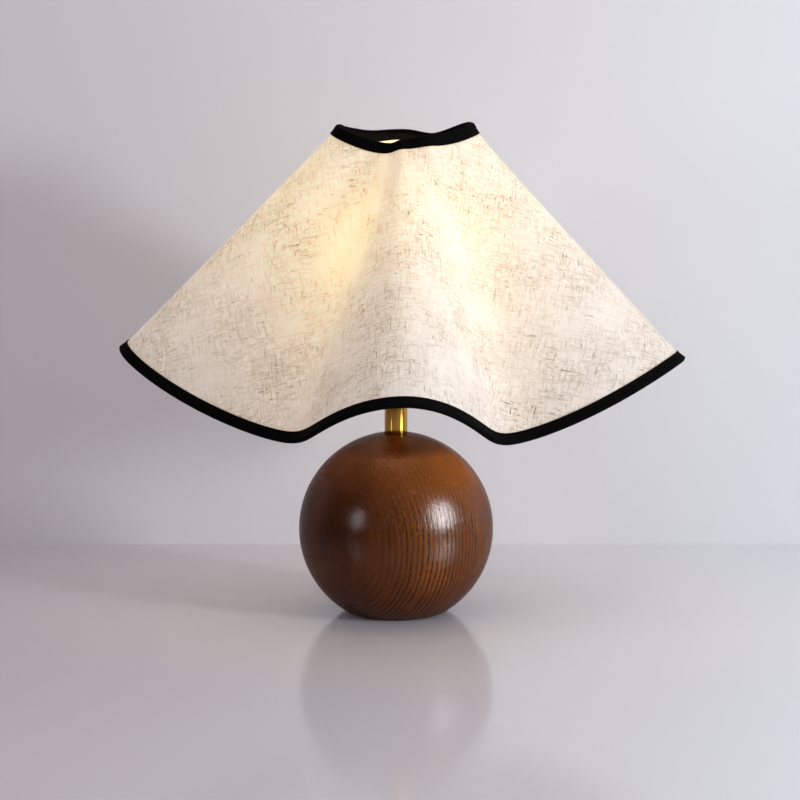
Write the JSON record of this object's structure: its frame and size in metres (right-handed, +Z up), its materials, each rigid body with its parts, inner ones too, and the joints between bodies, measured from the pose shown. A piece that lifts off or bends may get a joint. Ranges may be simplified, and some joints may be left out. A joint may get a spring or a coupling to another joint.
{
  "type": "table lamp",
  "caption": "Table lamp with a turned wooden ball base, a short brass stem, a switched lampholder with a bulb, and a wavy cone-shaped cloth shade with dark taped rims.",
  "frame": {"origin": "centre of the felt foot's underside, on the surface that the lamp stands on", "axes": "+Z up along the stem, -Y towards the front of the picture, +X to its right"},
  "size_m": [0.3909, 0.3719, 0.3428],
  "materials": {
    "stained_wood": "dark stained open-grained hardwood under satin lacquer",
    "felt": "pressed black felt",
    "zinc_steel": "bright zinc plated",
    "brass": "polished, lightly drawn",
    "black_plastic": "matt moulded",
    "ceramic": "unglazed white",
    "aluminium": "bright rolled",
    "white_plastic": "white moulded",
    "opal_plastic": "opal diffusing cover, lit warm white",
    "painted_wire": "white powder coat",
    "linen_cloth": "off-white slubbed linen on a thin backing, lit from inside",
    "black_tape": "black woven cotton tape, folded and glued"
  },
  "bodies": {
    "base": {"ball_base": "stained_wood", "cord_grommet": "black_plastic", "felt_foot": "felt", "threaded_rod": "zinc_steel", "rod_washer": "zinc_steel", "rod_nut": "zinc_steel", "stem_tube": "brass", "stem_lower_bush": "black_plastic", "stem_upper_bush": "black_plastic", "holder_cap": "brass", "grub_screw": "zinc_steel", "holder_skirt": "brass", "holder_insert": "ceramic", "screw_shell": "brass", "contact_leaf": "brass", "contact_rivet": "brass", "switch_body": "black_plastic", "live_terminal_screw": "brass", "neutral_terminal_screw": "brass", "switch_bushing": "brass"},
    "switch": {"switch_spindle": "zinc_steel", "switch_knob": "black_plastic"},
    "bulb": {"bulb_contact": "aluminium", "bulb_insulator": "black_plastic", "bulb_cap": "aluminium", "bulb_body": "white_plastic", "bulb_globe": "opal_plastic", "bulb_led_board": "aluminium"},
    "ring": {"ring_nut": "brass"},
    "shade": {"fitter_ring": "painted_wire", "front_arm": "painted_wire", "rear_arm": "painted_wire", "left_arm": "painted_wire", "top_wire": "painted_wire", "bottom_wire": "painted_wire", "shade_cloth": "linen_cloth", "top_tape": "black_tape", "bottom_tape": "black_tape"}
  },
  "joints": [
    {"name": "switch_turn", "type": "hinge", "parent": "base", "child": "switch", "pos_m": [0.0298, 0, 0.17847], "axis": [1, 0, 0], "continuous": true},
    {"name": "bulb_lift", "type": "slide", "parent": "base", "child": "bulb", "axis": [0, 0, 1], "range_m": [0, 0.026]},
    {"name": "ring_turn", "type": "hinge", "parent": "base", "child": "ring", "pos_m": [0, 0, 0.2063], "axis": [0, 0, 1], "continuous": true},
    {"name": "shade_turn", "type": "hinge", "parent": "base", "child": "shade", "pos_m": [0, 0, 0.2007], "axis": [0, 0, 1], "continuous": true}
  ]
}
